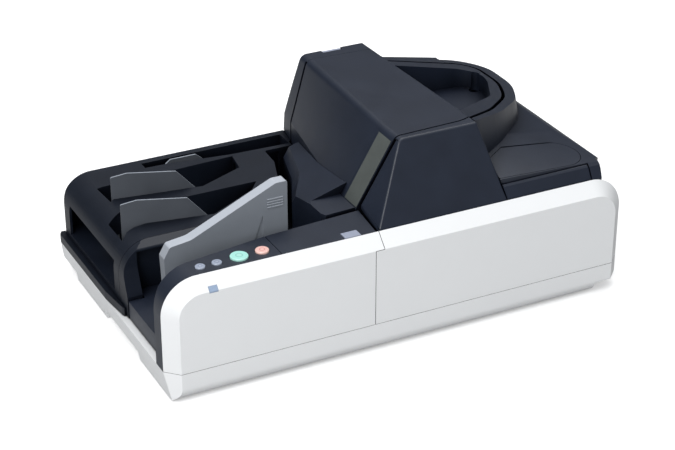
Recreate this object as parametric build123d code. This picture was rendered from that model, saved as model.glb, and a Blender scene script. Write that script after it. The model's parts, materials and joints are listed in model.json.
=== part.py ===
from build123d import *
import math
import os

# Cheque scanner: X runs left to right along the front, Y from the front to the back, Z up.
# The origin is at the middle of the footprint, on the desk. All lengths are in millimetres.

# ---- Casing ----
length = 540.0            # overall, left to right
depth = 326.4             # overall, front to back
height = 210.0            # desk to the top of the tower
wall = 2.6                # moulded walls
seam = 0.6                # open seam between neighbouring mouldings
fit = 0.3                 # gap between parts that pass each other
hide = 3.0                # thickness of the larger covers
desk_gap = 1.0            # skirt of the base above the desk
base_height = 34.4        # top edge of the white base
base_floor = 4.0          # thickness of the base's floor
base_taper = 6.4          # lean of the base's left end over its height
base_round = 16.0         # radius under the front edge of the base
skirt_height = 14.0       # foot skirt under the right end
skirt_inset = 34.2        # right end of the foot skirt, in from the right side
flange_wide = 11.0        # ledge inside the base's ends, which the dark casings stand on
foot_radius = 9.0
post_radius = 5.0         # posts that carry the chassis
grip_depth = 12.0         # hand grips under the left end
front_top = 135.6         # top of the white front and of the control strip
bevel = 14.2              # soft bevel round the white front
corner_radius = 39.5      # upper corners of the white front
door_seam_x = -38.0       # left edge of the front cover on the white face
door_step_x = -28.0       # left edge of the front cover on the bevel and on top
seam_slant = 5.4          # how far the cover's top seam leans right towards the back
strip_right = 232.0       # right edge of the front cover's dark top
chamfer_wide = 6.0        # bevel down the left edge of the leaning face
latch_span = (-66.0, -48.0)       # front latch, left and right edges
rear_tab_span = (52.0, 76.0)      # rear latch
lens_span = (-222.6, -213.2)      # indicator lens on the bevel

# ---- Paper track: it stands upright on the track floor, turns at the right end and comes back ----
chassis_top = 48.0        # upper face of the steel chassis plate
chassis_thick = 2.0
floor_thick = 7.0         # moulded track and hopper floors on the chassis
slot_half = 2.0           # half the width of the paper slot
track_points = [(-62, -99.5), (106, -92.5), (158, -57), (205, -8), (230, 45), (238, 120), (-10, 131.5)]
track_radii = [0, 40, 150, 120, 120, 26, 0]
rim_slope_x = 0.22        # fall of the turn's rim to the right
rim_slope_y = 0.07        # fall of the turn's rim to the back
rim_start = (108.0, -89.0)  # where the rim leaves the top of the tower

# ---- Tower ----
tower_lean = 0.632        # sideways run of the left face for each mm of height
tower_top_front = (19.5, 112.0)   # left and right edges of the top, at the front
tower_top_back = (27.0, 104.5)    # and at the back
tower_foot_right = 126.0
tower_foot_back = 12.0    # foot of the left face, at the back
tower_shoulder = 135.6    # height at which the left face turns upright
edge_round = 9.0          # long upper left edge of the tower
twist_start = -64.0       # from here back the left face twists upright
tower_back = 145.0        # back edge of the top
turn_back = 142.0         # back of the turn's rim, at this height
turn_back_level = 187.0
hood_top_y = -103.0       # front edge of the top
back_lean_height = 106.0  # the back face leans in above this height

feed_peak = (-37.0, 19.0, 130.0)    # where three facets of the feed unit's cover meet

# ---- Right deck ----
deck_right = 264.0
deck_edge = 149.0         # height of the right edge
deck_corner = 38.0        # front right corner, seen from above
nose_right = 246.0        # right end of the sloping front edge
deck_front = -137.4
deck_left_heights = [(-137.4, 151.5), (-84, 171), (-60, 177), (100, 177)]
rim_wall = 20.0           # thickness of the turn's outer wall at the deck
rim_taper = 10.0          # degrees
well_points = [(100, -74), (188, -6), (218, 50), (233, 97), (100, 108)]
well_radii = [0, 40, 80, 26, 0]
well_floor = 152.0
well_hole = (220.0, 83.0)
well_hole_radius = 6.0
lid_box = (118.0, 237.0, -136.0, -84.0)   # left, right, front and back of the cartridge lid
lid_thick = 2.6
lid_opening = 45.0        # degrees
lid_barrel = 1.3          # radius of the lid's round rear edge
lid_clear = 0.2           # between the opening lid and the deck's edge
lid_steps = 5             # places on its way at which the lid is cut clear of that edge

# ---- Pockets ----
block_top = 111.0
block_left = -262.8
block_round = 35.0        # upper left edge of the pocket block
pocket_floor = 50.0
front_pocket = [(-250, 47), (-232, 56), (-72.5, 56), (-85.5, 39), (-145, 5), (-218, 18), (-242, 13.5), (-250, 5)]
middle_pocket = [(-236, 119), (-70.6, 126), (-75, 96), (-130, 71.5), (-207, 82.4), (-229, 85.6), (-234, 82)]
rear_pocket = [(-170, 154), (2, 154), (2, 128), (-70, 131), (-146, 141), (-170, 142)]
plate_thick = 1.6
plate_swing = 12.0        # degrees
rear_plate_swing = 5.0
skin = 3.0                # walls of the pocket block
window_levels = (50.0, 85.0)      # open window in the pocket block's left end
window_span = (2.0, 140.0)

# ---- Hopper ----
hopper_left = -262.0
hopper_front_left = (-262.0, -126.5)
hopper_front_right = (-137.3, -106.5)
wall_line = -13.0         # back of the hopper's rear wall
lip_reach = 11.5          # rolled lip of that wall, front to back
lip_drop = 5.0
post_front = -36.0        # foot of the post at the hopper's left end
guide_front = -90.0       # front face of the feed guide at rest
guide_thick = 13.0
guide_travel = 50.0
guide_x = -150.0          # line that the guide's foot runs along
rail_apart = 14.0         # the two rods under the chassis
rail_level = 40.0
rail_radius = 2.0
wear_deep = 1.0           # recess for the wear strip

# ---- Keys: x, y, radius, height above the strip ----
button_sizes = {
    "eject_button": (-220.7, -135.9, 5.4, 1.5),
    "reset_button": (-202.6, -135.6, 5.4, 1.5),
    "start_button": (-177.8, -134.4, 9.5, 2.0),
    "stop_button": (-152.2, -133.5, 7.2, 2.0),
}
button_travel = 1.2
latch_rise = 0.8
latch_travel = 1.5
strip_thick = 3.0
flange_thick = 1.5
switch_tall = 4.0
board_thick = 1.6
key_board_top = front_top - 17.0
board_x = (-236.0, -141.0)
board_y = (-146.0, -126.0)

# ---- Hinges: upright axes at the right end ----
front_hinge = (260.0, -145.0)
rear_hinge = (212.0, 156.0)
column_radius = 12.2      # round column of the front cover about its hinge
column_top = 111.0
lug_radius = 3.6          # fixed eye over that column
nose_low = 126.0          # underside of the fixed corner over that column
turn_circle = 10.0        # seam between the deck and the rear cover, round the rear hinge
barrel_radius = 4.0
barrel_top = 118.0
arm_levels = [(58, 66), (104, 112)]
pin_fit = 0.02            # pins sit tightly in the fixed parts
cover_sweep = 200.5       # foot of the rear cover's left end stays within this radius of its hinge

# ---- Rollers ----
shaft_radius = 3.0
pin_radius = 2.0
running = 0.05            # radial clearance of running fits
drive_radius = 12.0
pinch_radius = 8.0
pick_radius = 14.0
nip = 0.15                # half the gap between a roller and its pinch roller
tyre_levels = (64, 104)   # rubber sleeves of the rollers
shelf_levels = [(57.5, 60), (108, 110.5)]   # shelves that carry the pinch rollers' pins
bush_radius = 6.0
pulley_radius = 9.0
transport_level = 41.0    # middle of the belts
feed_level = 36.5
retard_radius = 10.0
front_station = (45, -95)         # places along the track
turn_station = (181, -33)
back_station = (60, 128)
feed_station = (-48, -99)
pick_place = (-112, -117.6)
motor_place = (26, 22)
feed_motor_place = (-34, -2)

left, right = -length / 2, length / 2
front, back = -depth / 2, depth / 2
floor_top = chassis_top + floor_thick


def plan(points, low, high, radii=0.0):
    """Prism over an outline drawn in plan."""
    outline = FilletPolyline(*[(x, y, low) for x, y in points], radius=radii, close=True)
    return extrude(make_face(outline), amount=high - low, dir=(0, 0, 1))


def elevation(points, near, far, radii=0.0):
    """Prism over an outline seen from the front, as x and z, running back along Y."""
    outline = FilletPolyline(*[(x, near, z) for x, z in points], radius=radii, close=True)
    return extrude(make_face(outline), amount=far - near, dir=(0, 1, 0))


def profile(points, start, end, radii=0.0):
    """Prism over an outline seen from the side, as y and z, running right along X."""
    outline = FilletPolyline(*[(start, y, z) for y, z in points], radius=radii, close=True)
    return extrude(make_face(outline), amount=end - start, dir=(1, 0, 0))


def block(x0, x1, y0, y1, z0, z1):
    """Box between two corners."""
    return Pos((x0 + x1) / 2, (y0 + y1) / 2, (z0 + z1) / 2) * Box(x1 - x0, y1 - y0, z1 - z0)


def stud(x, y, z0, z1, half):
    """Square support."""
    return block(x - half, x + half, y - half, y + half, z0, z1)


def hexagon(x, y, z0, z1, radius):
    """Upright hexagonal prism."""
    return extrude(Pos(x, y, z0) * RegularPolygon(radius, 6), amount=z1 - z0)


def post(x, y, z0, z1, radius):
    """Upright cylinder."""
    return Pos(x, y, (z0 + z1) / 2) * Cylinder(radius, z1 - z0)


def track_region(grow, low, high, taper=0.0):
    """Everything inside the paper track, its edge moved outwards by grow."""
    outline = make_face(FilletPolyline(*[(x, y, low) for x, y in track_points], radius=track_radii, close=True))
    grown = offset(outline, amount=grow, kind=Kind.INTERSECTION) if grow else outline
    return extrude(grown, amount=high - low, dir=(0, 0, 1), taper=taper)


def rim_height(x, y):
    """Height of the turn's sloping rim, a plane."""
    return height - rim_slope_x * (x - rim_start[0]) - rim_slope_y * (y - rim_start[1])


def below_rim(drop=0.0):
    """Everything under the sloping rim of the turn."""
    reach = 300.0
    corners = [(x, y) for x in (60.0, reach) for y in (-reach, reach)]
    base = [(x, y, rim_height(x, y) - drop) for x, y in corners]
    wire = Polyline(base[0], base[1], base[3], base[2], close=True)
    slope = extrude(make_face(wire), amount=reach, dir=(0, 0, -1))
    return slope & block(left, right, -reach, reach, -reach, height - drop)


def tower(inset=0.0, low=base_height):
    """Tower without its front and back lean: flat left face at the front, twisting upright to the back."""
    def section(y, top, foot_left):
        run = inset * 1.1
        points = [
            (foot_left + run, low), (foot_left + run, tower_shoulder),
            (top[0] + run, height - inset), (top[1] - run, height - inset),
            (tower_foot_right - run, tower_shoulder), (tower_foot_right - run, low),
        ]
        rounds = [0, 0, edge_round - inset, 2, 0, 0]
        return make_face(FilletPolyline(*[(x, y, z) for x, z in points], radius=rounds, close=True))
    foot_front = tower_top_front[0] - tower_lean * (height - tower_shoulder)
    rear = loft([
        section(twist_start, tower_top_front, foot_front),
        section(back + 5, tower_top_back, tower_foot_back),
    ], ruled=True)
    fore = extrude(section(twist_start, tower_top_front, foot_front), amount=front - twist_start, dir=(0, 1, 0))
    return fore + rear


def hood_lean(inset=0.0):
    """Space behind the leaning front face of the tower."""
    lip = front + bevel
    shift = inset * 1.18
    return profile([
        (lip + shift, 0), (lip + shift, front_top), (hood_top_y + shift, height), (back, height + 5), (back, 0),
    ], left, right)


def back_lean(inset=0.0, top=tower_back, level=height):
    """Space in front of the back face, which leans in above the shoulder to y = top at that level."""
    slope = (top - back) / (level - back_lean_height)
    crown = back + slope * (height + 1 - back_lean_height)
    return profile([
        (front, 0), (back - inset, 0), (back - inset, back_lean_height), (crown - inset, height + 1), (front, height + 1),
    ], left, right)


def turn_lean(inset=0.0):
    """The same for the turn, whose rim is narrower."""
    return back_lean(inset, turn_back, turn_back_level)


def front_form(inset):
    """Upright front with rounded upper corners and a soft bevel, moved inwards by inset."""
    rim = corner_radius - inset
    body = elevation([
        (left + inset, base_height), (left + inset, front_top - inset),
        (right - inset, front_top - inset), (right - inset, base_height),
    ], front + inset, front + 2.2 * bevel, [0, rim, rim, 0])
    edges = [e for e in body.edges().filter_by_position(Axis.Y, front + inset - 0.01, front + inset + 0.01)
             if e.center().Z > base_height + 0.1]
    return chamfer(edges, bevel - 0.586 * inset)


def base_form(inset, low, high):
    """Base tub with a leaning left end, a rolled front edge and a cut-back right end."""
    side = profile([
        (front + inset, low), (front + inset, high), (back - inset, high), (back - inset, low),
    ], left - 1, right + 1, [max(base_round - inset, 0) if low < base_round else 0, 0, 0, 4 if low < 6 else 0])
    lean = base_taper * (base_height - low) / base_height
    ends = elevation([
        (left + inset + lean, low), (left + inset, base_height), (left + inset, high + 0.01),
        (right - inset, high + 0.01), (right - inset, low),
    ], front, back, [0, 0, 0, 0, 14 if low < 6 else 0])
    corner = bevel - 0.586 * inset
    cut = plan([
        (left + inset, front + inset + corner), (left + inset + corner, front + inset),
        (right - inset - corner, front + inset), (right - inset, front + inset + corner),
        (right - inset, back - inset), (left + inset, back - inset),
    ], low, high, [0, 0, 0, 0, 10, 10])
    return side & ends & cut


# ---- Base and chassis ----
def foot_places():
    return [(x, y) for x in (left + 40, right - skirt_inset - 25) for y in (front + 34, back - 34)]


def post_places():
    return [(-225, -128), (-88, -133), (165, -124), (222, -124)] + [(-205, 130), (-75, 146), (165, 146), (222, 146)]


def base_casing():
    shell = base_form(0, desk_gap, base_height)
    cavity = base_form(wall, skirt_height + 3, base_height + 1)
    for sign in (-1, 1):
        edge = sign * (right - flange_wide)
        cavity -= block(min(edge, sign * right), max(edge, sign * right), front, back, base_height - wall, base_height)
    sump = block(left + 22, right - skirt_inset - 3, front + 18, back - wall, desk_gap + base_floor, skirt_height + 4)
    shell -= cavity
    shell -= sump
    shell -= block(right - skirt_inset, right + 1, front - 1, back + 1, 0, skirt_height)
    for near, far in ((-66.5, 29.4), (121.3, back + 1)):
        shell -= block(left - 1, left + base_taper + grip_depth, near, far, 0, skirt_height - 2)
    for x, y in foot_places():
        shell -= post(x, y, 0, desk_gap + foot_seat, foot_radius + fit)
    for x, y in post_places():
        shell += stud(x, y, desk_gap + base_floor - 0.5, chassis_top - chassis_thick, post_radius)
        shell -= hexagon(x, y, 25, chassis_top, screw_radius + pin_fit)
    for x0, x1, z0, z1 in rear_cutouts():
        shell -= block(x0, x1, back - 8, back + 1, z0, z1)
    for x, y in board_feet():
        shell += stud(x, y, desk_gap + base_floor - 0.5, board_level, 3)
    return shell


def rubber_feet():
    return [post(x, y, 0, desk_gap + foot_seat, foot_radius) for x, y in foot_places()]


def chassis_plate():
    x0, x1 = left + 12, right - 14
    y0, y1 = front + 22, back - 10
    hinge_x, hinge_y = front_hinge
    rear_x, rear_y = rear_hinge
    plate = plan([
        (x0, y0), (120, y0), (126, deck_front + wall + 1), (x1, deck_front + wall + 1), (x1, y1), (x0, y1),
    ], chassis_top - chassis_thick, chassis_top, [8, 4, 4, 0, 8, 8])
    plate += block(hinge_x - 10, hinge_x + 4, hinge_y - 4, deck_front + wall + 2, chassis_top - chassis_thick, chassis_top)
    plate += block(rear_x - 6, rear_x + 6, y1 - 1, back - wall - fit, chassis_top - chassis_thick, chassis_top)
    for y in (guide_front - 9, guide_front + guide_travel + guide_thick + 8):
        plate += block(guide_x - 13, guide_x + 13, y - 1.5, y + 1.5, rail_level - 4, chassis_top - 1)
        for x in rail_places():
            plate -= Pos(x, y, rail_level) * Rot(90, 0, 0) * Cylinder(rail_radius + pin_fit, 4)
    for x, y in post_places():
        plate -= hexagon(x, y, 40, 60, screw_radius + 0.2)
    for x, y in shaft_places():
        plate -= post(x, y, 40, 60, bush_radius + fit)
    for x, y in (front_hinge, rear_hinge):
        plate -= post(x, y, 40, 60, pin_radius + pin_fit)
    return plate - guide_slot(chassis_top - chassis_thick, 60)


screw_radius = 1.5
foot_seat = 1.6
board_level = 11.0


def chassis_screws():
    """Hexagon screws that hold the chassis on its posts, drawn without thread."""
    return [hexagon(x, y, 32, chassis_top, screw_radius) + hexagon(x, y, chassis_top, chassis_top + 1.8, 3)
            for x, y in post_places()]


def hinge_pins():
    """Steel pins of the front and the rear cover."""
    x, y = front_hinge
    front_pin = post(x, y, chassis_top - chassis_thick - 2, column_top + 3.4, pin_radius)
    x, y = rear_hinge
    return [front_pin, post(x, y, chassis_top - chassis_thick - 2, barrel_top + 4, pin_radius)]


# ---- Rollers, belts and motors ----
def on_track(x, y, side, away):
    """Centre of a roller beside the track: side 1 is inside the loop, -1 outside."""
    best = None
    for (x0, y0), (x1, y1) in zip(track_points, track_points[1:]):
        run = math.hypot(x1 - x0, y1 - y0)
        ux, uy = (x1 - x0) / run, (y1 - y0) / run
        along = (x - x0) * ux + (y - y0) * uy
        gap = abs((x - x0) * uy - (y - y0) * ux)
        if -1 <= along <= run + 1 and (best is None or gap < best[0]):
            best = (gap, x0 + ux * along, y0 + uy * along, ux, uy)
    _, px, py, ux, uy = best
    return px - uy * side * away, py + ux * side * away


stations = (front_station, turn_station, back_station)
drive_places = [on_track(*p, 1, drive_radius + nip) for p in stations]
pinch_places = [on_track(*p, -1, pinch_radius + nip) for p in stations]
feed_place = on_track(*feed_station, -1, drive_radius + nip)
retard_place = on_track(*feed_station, 1, retard_radius + nip)
transport_places = drive_places + [motor_place]
feed_places = [feed_place, pick_place, feed_motor_place]


def shaft_places():
    return drive_places + [feed_place, retard_place, pick_place, motor_place, feed_motor_place]


def pulley(x, y, level):
    """Pulley on an upright shaft."""
    return post(x, y, level - 2.5, level + 2.5, pulley_radius)


def roller(place, radius, top, level=None):
    """Rubber sleeve on a steel shaft, with a pulley under the chassis where a belt drives it."""
    x, y = place
    shaft = post(x, y, level - 4 if level else chassis_top - 4, top, shaft_radius)
    if level:
        shaft += pulley(x, y, level)
    return shaft + post(x, y, *tyre_levels, radius)


def pinch_roller(place):
    """Free roller on a fixed pin."""
    x, y = place
    return post(x, y, *tyre_levels, pinch_radius) - post(x, y, 0, 200, pin_radius + running)


def pinch_room(place):
    """Space for a pinch roller in the wall beside the track."""
    return post(*place, shelf_levels[0][1], shelf_levels[1][0], pinch_radius + 1)


def pinch_carrier(place):
    """Two shelves and the pin that carry a pinch roller."""
    x, y = place
    carrier = post(x, y, shelf_levels[0][0], shelf_levels[1][1], pin_radius)
    for low, high in shelf_levels:
        carrier += post(x, y, low, high, pinch_radius + 1)
    return carrier - track_region(slot_half, 0, 300)


def bushes():
    """Bushes that carry the upright shafts, pressed into the track floor."""
    solids = []
    for x, y in shaft_places():
        if (x, y) in (motor_place, feed_motor_place):
            continue
        bush = post(x, y, chassis_top - chassis_thick, floor_top, bush_radius)
        solids.append(bush - post(x, y, 40, 60, shaft_radius + running))
    return solids


def belt(places, level):
    """Flat belt round its pulleys."""
    def loop(grow):
        rims = Sketch() + [Pos(x, y) * Circle(pulley_radius + grow) for x, y in places]
        return extrude(Pos(0, 0, level - 2) * make_hull(rims.edges()), amount=4)
    return loop(1.5) - loop(0.1)


def motor(place, radius, tall):
    """Motor standing on the chassis, its shaft reaching down through it."""
    x, y = place
    body = post(x, y, chassis_top, chassis_top + tall, radius)
    body += block(x - radius - 3, x + radius + 3, y - 6, y + 6, chassis_top, chassis_top + 2)
    return body - post(x, y, chassis_top - 1, chassis_top + 12, shaft_radius + running)


def motor_spindle(place, level):
    x, y = place
    return post(x, y, level - 4, chassis_top + 11, shaft_radius) + pulley(x, y, level)


def guide_slot(low, high):
    """Slot in the hopper floor that the feed guide's foot runs in."""
    return block(guide_x - 5, guide_x + 5, guide_front - 2, guide_front + guide_thick + guide_travel + 5, low, high)


def rail_places():
    return [guide_x - rail_apart / 2, guide_x + rail_apart / 2]


def guide_rails():
    """Two steel rods under the chassis that the guide's carriage runs on."""
    y0, y1 = guide_front - 10.4, guide_front + guide_travel + guide_thick + 9.4
    return [Pos(x, (y0 + y1) / 2, rail_level) * Rot(90, 0, 0) * Cylinder(rail_radius, y1 - y0) for x in rail_places()]


# ---- Electrics in the base ----
def board_feet():
    return [(x, y) for x in (-165, -95) for y in (70, 140)]


def main_board():
    """Circuit board with its chips, capacitors and the USB socket at its back edge."""
    board = block(-172, -88, 62, 148, board_level, board_level + board_thick)
    top = board_level + board_thick
    board += block(-150, -128, 84, 106, top, top + 2.4)
    board += block(-112, -100, 76, 100, top, top + 7)
    board += block(-168, -162, 84, 124, top, top + 8)
    for x in (-126, -115, -104):
        board += post(x, 126, top, top + 11, 4)
    x0, x1 = usb_span
    z0, z1 = usb_levels
    board += block(x0, x1, 132, back, z0, z1)
    board -= block(x0 + 1.5, x1 - 1.5, back - 9, back + 1, z0 + 1.5, z1 - 1.5)
    return board + block(x0 + 4, x1 - 4, back - 10, back - 1, z0 + 4, z1 - 4)


def power_supply():
    """Closed steel box of the power supply, with a row of vents."""
    case = block(-55, 35, 42, 132, desk_gap + base_floor, 31)
    for step in range(9):
        case -= block(-45 + 9 * step, -41 + 9 * step, 60, 114, 30, 32)
    return case


inlet_span = (-216.0, -188.0)
inlet_levels = (8.0, 28.0)
switch_span = (-240.0, -220.0)
usb_span = (-152.0, -139.0)
usb_levels = (board_level + board_thick, board_level + board_thick + 11)
rocker_axle_radius = 1.2
rocker_tilt = 7.0         # degrees either way


def rear_cutouts():
    return [(span[0] - fit, span[1] + fit, levels[0] - fit, levels[1] + fit)
            for span, levels in ((inlet_span, inlet_levels), (usb_span, usb_levels), (switch_span, inlet_levels))]


def power_inlet():
    """Mains inlet with three pins in an open shroud, and the power switch's housing on the same flange."""
    x0, x1 = inlet_span
    s0, s1 = switch_span
    z0, z1 = inlet_levels
    body = block(x0, x1, back - 22, back, z0, z1) + block(s0, s1, back - 16, back, z0, z1)
    body += block(s0 - 2, x1 + 3, back - wall - fit - 2, back - wall - fit, z0 - 1.5, z1 + 1.5)
    body -= block(x0 + 2, x1 - 2, back - 15, back + 1, z0 + 2, z1 - 2)
    middle = (x0 + x1) / 2
    for step, level in ((-7, 16), (0, 20), (7, 16)):
        body += block(middle + step - 1, middle + step + 1, back - 16, back - 3, level - 2, level + 2)
    body -= block(s0 + 2, s1 - 2, back - 11, back + 1, z0 + 2, z1 - 2)
    return body - rocker_axle(rocker_axle_radius + running, s0 + 0.6, s1 - 0.6)


def rocker_axle(radius, x0, x1):
    z = sum(inlet_levels) / 2
    return Pos((x0 + x1) / 2, back - 4.2, z) * Rot(0, 90, 0) * Cylinder(radius, x1 - x0)


def power_switch():
    """Rocker: a shallow V across its axle."""
    x0, x1 = switch_span
    z0, z1 = inlet_levels
    middle = (z0 + z1) / 2
    rocker = profile([
        (back - 7, middle - 3), (back - 2.6, z0 + 3.2), (back - 0.4, z0 + 3.2), (back - 1.8, middle),
        (back - 0.4, z1 - 3.2), (back - 2.6, z1 - 3.2), (back - 7, middle + 3),
    ], x0 + 2.3, x1 - 2.3)
    return rocker + rocker_axle(rocker_axle_radius, x0 + 0.8, x1 - 0.8)


# ---- White front ----
def front_panel():
    """Fixed left part of the white front."""
    shell = front_form(0) - front_form(wall)
    shell &= block(left - 1, right + 1, front - 1, front + bevel, base_height + fit, front_top + 1)
    low = block(left - 1, door_seam_x - seam / 2, front - 1, 0, 0, front_top - bevel)
    high = block(left - 1, door_step_x - seam / 2, front - 1, 0, front_top - bevel, front_top + 1)
    return shell & (low + high) - lens_form(0.1)


def lens_form(grow):
    """Indicator lens let into the lower edge of the bevel."""
    x0, x1 = lens_span
    z = front_top - bevel
    lens = profile([
        (front - 1.2, z - 1.5 - grow), (front - 1.2, z + 0.6), (front + 3.2, z + 5.0 + grow), (front + 5.6, z + 2.6),
        (front + 3.0, z - 1.5 - grow),
    ], x0 - grow, x1 + grow)
    return lens & front_form(0)


def front_cover_panel():
    shell = front_form(0) - front_form(wall)
    shell &= block(left - 1, right + 1, front - 1, front + bevel, base_height + fit, front_top + 1)
    low = block(door_seam_x + seam / 2, right + 1, front - 1, 0, 0, front_top - bevel - seam)
    high = block(door_step_x + seam / 2, right + 1, front - 1, 0, front_top - bevel - seam - 1, front_top + 1)
    return shell & (low + high)


def indicator_lens():
    return lens_form(0)


# ---- Control strip and hopper ----
def hopper_line(x):
    """Front edge of the hopper, as y at x."""
    (x0, y0), (x1, y1) = hopper_front_left, hopper_front_right
    return y0 + (y1 - y0) * (x - x0) / (x1 - x0)


def control_frame():
    """Dark frame behind the white front, with the keys in its top."""
    lip = front + bevel + fit
    edge = hopper_front_right[0]
    outline = [
        (left - 1, lip), (edge, lip), (edge, hopper_line(edge)), (hopper_left, hopper_line(hopper_left)),
        (left - 1, hopper_line(hopper_left) - 5),
    ]
    form = elevation([
        (left, base_height + fit), (left, front_top), (right, front_top), (right, base_height + fit),
    ], front, 0, [0, corner_radius, corner_radius, 0])
    inner = elevation([
        (left + wall, base_height), (left + wall, front_top - strip_thick), (right, front_top - strip_thick),
        (right, base_height),
    ], front, 0, [0, corner_radius - strip_thick, 0, 0])
    frame = form & plan(outline, base_height + fit, front_top + 1)
    hollow = [
        (left, lip - 1), (edge + 1, lip - 1), (edge + 1, hopper_line(edge) - wall),
        (hopper_left, hopper_line(hopper_left) - wall), (left, hopper_line(hopper_left) - wall),
    ]
    frame -= inner & plan(hollow, base_height - 1, front_top + 1)
    frame -= block(left + wall, 0, lip, 0, 0, floor_top + fit)
    for x in board_x:
        for y in (board_y[0] + 2, board_y[1] - 2):
            inset = 2 if x == board_x[0] else -2
            frame += stud(x + inset, y, key_board_top, front_top - 1, 2)
    for x, y, radius, _ in button_sizes.values():
        frame -= post(x, y, front_top - 10, front_top + 1, radius + fit)
    return frame


def key_board():
    """Circuit board under the control strip, with a switch under each key."""
    board = block(*board_x, *board_y, key_board_top - board_thick, key_board_top)
    for x, y, _, _ in button_sizes.values():
        board += block(x - 3, x + 3, y - 3, y + 3, key_board_top, key_board_top + switch_tall)
    return board


def button(name):
    """Round key with a softened top edge, two lugs under the strip and a stem over its switch."""
    x, y, radius, rise = button_sizes[name]
    flange_top = front_top - strip_thick - fit
    key = post(x, y, flange_top, front_top + rise, radius)
    key = chamfer(key.edges().filter_by(GeomType.CIRCLE).group_by(Axis.Z)[-1], 0.7)
    lug = radius + 1.2
    key += block(x - lug, x + lug, y - 2, y + 2, flange_top - flange_thick, flange_top)
    return key + block(x - 1.5, x + 1.5, y - 1.5, y + 1.5, key_board_top + switch_tall + button_travel + 0.1, flange_top)


def inlet_cover():
    """Cover over the document inlet, with the outer track wall under its back edge."""
    edge = hopper_front_right[0] + seam
    lip = front + bevel + fit
    stop = door_step_x - seam
    top = [
        (edge, lip), (stop - 2.4, lip), (stop - 2.4 + seam_slant, -98.5), (-100, -104), (edge, hopper_line(edge)),
    ]
    cover = plan(top, front_top - strip_thick, front_top)
    bend = (-62, -104.6)
    outer = [(edge, hopper_line(edge)), (-62, -102), (stop - 0.5, -100.6), (stop - 0.5, -103.2), bend,
             (edge, hopper_line(edge) - wall)]
    cover += plan(outer, floor_top + fit, front_top - 2)
    for (x, y), radius in ((feed_place, drive_radius), (pick_place, pick_radius)):
        cover -= post(x, y, floor_top - 1, tyre_levels[1] + 8, radius + 1)
    x0, x1 = latch_span
    cover -= block(x0 - fit, x1 + fit, front, front + bevel + 12 + fit, front_top - strip_thick - 1, front_top + 1)
    return cover


def front_latch():
    """Finger tab that frees the front cover, with a flange under the strip."""
    x0, x1 = latch_span
    y0, y1 = front + bevel + 0.6, front + bevel + 12
    under = front_top - strip_thick - fit
    tab = block(x0, x1, y0, y1, under - flange_thick, front_top + latch_rise)
    tab = fillet(tab.edges().group_by(Axis.Z)[-1], 0.6)
    return tab + block(x0 - 1.5, x1 + 1.5, y0 + 0.4, y1 + 1.5, under - flange_thick, under)


def hopper_floor():
    """Moulded floor of the hopper; its left end comes down to the base."""
    edge = hopper_front_right[0]
    start = hopper_line(hopper_left) + fit
    outline = [
        (hopper_left, post_front - fit), (hopper_left, start), (edge, hopper_line(edge) + fit), (-64, -102), (-64, -40),
        (-78, wall_line - 3 - fit), (-244, wall_line - 3 - fit), (-244, post_front - fit),
    ]
    plate = plan(outline, chassis_top, floor_top)
    plate += block(hopper_left, hopper_left + wall, start, post_front - fit, base_height + fit, floor_top)
    plate -= guide_slot(40, 60)
    plate -= plan([(-258, -118), (-160, -101.7), (-160, -94), (-258, -110)], floor_top - wear_deep, floor_top + 1)
    plate -= post(*pick_place, 40, 60, bush_radius + 3)
    for x, y in (feed_place, retard_place):
        plate -= post(x, y, 40, 60, bush_radius + 3)
    return plate


def wear_strip():
    """Bright steel strip let into the hopper floor along the foot of the documents."""
    return plan([(-257.7, -117.6), (-160.3, -101.3), (-160.3, -94.3), (-257.7, -110.3)], floor_top - wear_deep, floor_top)


def feed_guide_form(near, far, low):
    """Outline of the guide seen from the front, from its wedge nose up to the tall right end."""
    return elevation([
        (-238, low), (-241, 126), (-234, 138), (-211, 141), (-116, 184), (-103, 184), (-103, low),
    ], near, far, [0, 3, 4, 20, 6, 2, 0])


def feed_guide():
    """Sliding guide that presses the stack: a hollow moulding on a foot and a carriage under the chassis."""
    near, far = guide_front, guide_front + guide_thick
    guide = feed_guide_form(near, far, floor_top + 1.0)
    guide -= elevation([
        (-233, floor_top + 6), (-233, 130), (-208, 136), (-118, 178), (-107, 178), (-107, floor_top + 6),
    ], near + wall, far + 1)
    guide -= elevation([(-149, 100), (-131, 150), (-131, 70), (-149, 70)], near - 1, near + 1.2)
    for step in range(4):
        guide += block(-126, -108, near - 0.8, near + 0.5, 157 + 3 * step, 158.4 + 3 * step)
    guide += block(guide_x - 4.6, guide_x + 4.6, near + 1, far - 1, rail_level + 3, floor_top + 1.5)
    guide += block(guide_x - 12, guide_x + 12, near + 1, far - 1, rail_level - 3.5, rail_level + 4.5)
    for x in rail_places():
        guide -= Pos(x, (near + far) / 2, rail_level) * Rot(90, 0, 0) * Cylinder(rail_radius + running, guide_thick + 4)
    return guide


def block_end(inset, low):
    """Seen from the front: the block's left end with its large upper round."""
    x = block_left + inset
    return elevation([
        (x, low), (x, block_top - inset), (30, block_top - inset), (30, low),
    ], -70, back + 1, [0, block_round - inset, 0, 0])


def hopper_wall():
    """Back wall of the hopper with a rolled lip along its top, ending in the post at the left."""
    side = [
        (wall_line, floor_top), (wall_line, block_top), (wall_line - lip_reach, block_top - lip_drop),
        (wall_line - lip_reach, block_top - lip_drop - 2.4), (wall_line - 3, block_top - lip_drop - 1),
        (wall_line - 3, floor_top),
    ]
    shell = profile(side, block_left, -84, [0, 0, 2.5, 0.5, 1, 0])
    end = profile([
        (wall_line, base_height + fit), (wall_line, block_top), (wall_line - lip_reach, block_top - lip_drop),
        (wall_line - lip_reach, 88), (post_front, floor_top + 4), (post_front, base_height + fit),
    ], block_left, -246, [0, 0, 2.5, 20, 3, 0])
    end -= block(block_left + wall, -240, -60, 0, 0, floor_top + fit)
    return (shell + end) & block_end(0, 0)


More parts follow.
